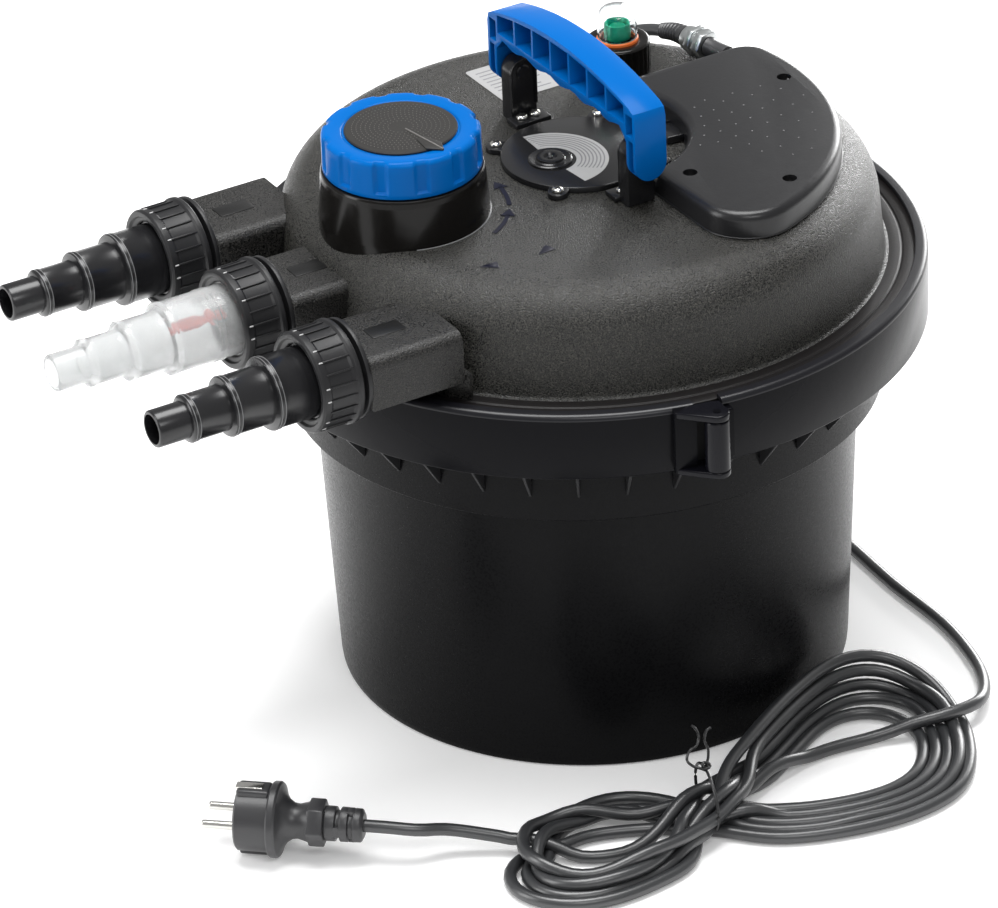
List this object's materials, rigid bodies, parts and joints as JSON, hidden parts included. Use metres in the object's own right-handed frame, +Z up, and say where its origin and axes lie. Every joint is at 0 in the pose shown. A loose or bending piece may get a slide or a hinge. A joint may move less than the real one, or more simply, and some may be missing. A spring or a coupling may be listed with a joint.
{
  "type": "pond pressure filter",
  "caption": "Pressure filter tub with a clamped dome lid, stepped hose tails, a valve dial, a swinging carry handle, a flow indicator and a coiled mains cable.",
  "frame": {"origin": "centre of the tub's flat bottom, on the floor", "axes": "+Z up; the hose tails point along -X; the cable gland and the flow indicator are on the +Y side; the handle's pivots lie along Y"},
  "size_m": [0.5291, 0.5018, 0.384],
  "materials": {
    "black_plastic": "satin moulded",
    "grained_grey": "fine grain",
    "satin_black": "satin",
    "gloss_black": "gloss",
    "blue_plastic": "semi-gloss",
    "red_plastic": "semi-gloss",
    "green_plastic": "semi-gloss",
    "pale_plastic": "matte",
    "clear_plastic": "clear",
    "clear_glass": "clear",
    "lamp_glass": "polished",
    "rubber_black": "matte",
    "orange_rubber": "matte",
    "cable_black": "satin",
    "steel": "plated",
    "zinc": "satin plated",
    "foam_blue": "open-cell foam",
    "foam_black": "open-cell foam"
  },
  "bodies": {
    "filter": {"tub": "black_plastic", "rim_gasket": "rubber_black", "lid": "grained_grey", "band_left": "satin_black", "hinge_pin": "steel", "tail_gasket_a": "rubber_black", "tail_gasket_b": "rubber_black", "tail_gasket_c": "rubber_black", "hose_tail_a": "black_plastic", "hose_tail_b": "clear_plastic", "hose_tail_c": "black_plastic", "valve_housing": "gloss_black", "bracket_a": "satin_black", "bracket_c": "satin_black", "centre_cover": "satin_black", "uvc_cover": "satin_black", "ballast": "pale_plastic", "quartz_sleeve": "clear_glass", "uvc_lamp": "lamp_glass", "indicator_collar": "gloss_black", "indicator_seal": "orange_rubber", "indicator_dome": "clear_plastic", "gland_body": "rubber_black", "gland_nut": "zinc", "gland_boot": "rubber_black", "sponge_lower": "foam_blue", "sponge_upper": "foam_black", "sponge_plate": "black_plastic", "mains_cable": "cable_black", "cable_hank": "cable_black", "cable_tie": "cable_black", "plug_lead": "cable_black", "plug_body": "rubber_black", "plug_pin_1": "steel", "plug_pin_2": "steel", "cover_screw_1": "steel", "bracket_screw_1": "steel", "cover_screw_2": "steel", "bracket_screw_2": "steel", "cover_screw_3": "steel", "bracket_screw_3": "steel", "cover_screw_4": "steel", "bracket_screw_4": "steel", "uvc_screw_1": "steel", "uvc_screw_2": "steel", "uvc_screw_3": "steel"},
    "dial": {"dial_ring": "blue_plastic", "dial_disc": "black_plastic", "valve_rotor": "pale_plastic"},
    "handle": {"handle": "blue_plastic"},
    "band_swing": {"band_right": "satin_black"},
    "latch": {"latch_lever": "satin_black"},
    "nut_a": {"union_nut_a": "black_plastic"},
    "nut_b": {"union_nut_b": "black_plastic"},
    "nut_c": {"union_nut_c": "black_plastic"},
    "flap": {"flow_flap": "red_plastic"},
    "float": {"indicator_float": "green_plastic"}
  },
  "joints": [
    {"name": "dial_turn", "type": "hinge", "parent": "filter", "child": "dial", "pos_m": [-0.112, 0, 0.35], "axis": [0, 0, 1], "range_deg": [0, 180]},
    {"name": "handle_swing", "type": "hinge", "parent": "filter", "child": "handle", "pos_m": [0, 0, 0.339], "axis": [0, 1, 0], "range_deg": [-90, 90]},
    {"name": "band_open", "type": "hinge", "parent": "filter", "child": "band_swing", "pos_m": [-0.0375, -0.20235, 0.2336], "axis": [0, 0, 1], "range_deg": [-70, 0]},
    {"name": "latch_open", "type": "hinge", "parent": "filter", "child": "latch", "pos_m": [0.01927, 0.20008, 0.2326], "axis": [0, 0, 1], "range_deg": [-100, 0]},
    {"name": "nut_a_turn", "type": "hinge", "parent": "filter", "child": "nut_a", "pos_m": [-0.2165, -0.085, 0.277], "axis": [1, 0, 0], "continuous": true},
    {"name": "nut_b_turn", "type": "hinge", "parent": "filter", "child": "nut_b", "pos_m": [-0.2165, 0, 0.277], "axis": [1, 0, 0], "continuous": true},
    {"name": "nut_c_turn", "type": "hinge", "parent": "filter", "child": "nut_c", "pos_m": [-0.2165, 0.085, 0.277], "axis": [1, 0, 0], "continuous": true},
    {"name": "flap_swing", "type": "hinge", "parent": "filter", "child": "flap", "pos_m": [-0.237, 0, 0.281], "axis": [0, 1, 0], "range_deg": [-55, 0]},
    {"name": "float_rise", "type": "slide", "parent": "filter", "child": "float", "axis": [0, 0, 1], "range_m": [0, 0.0075], "stiffness_N_per_m": 20, "springref_m": -0.0005}
  ]
}
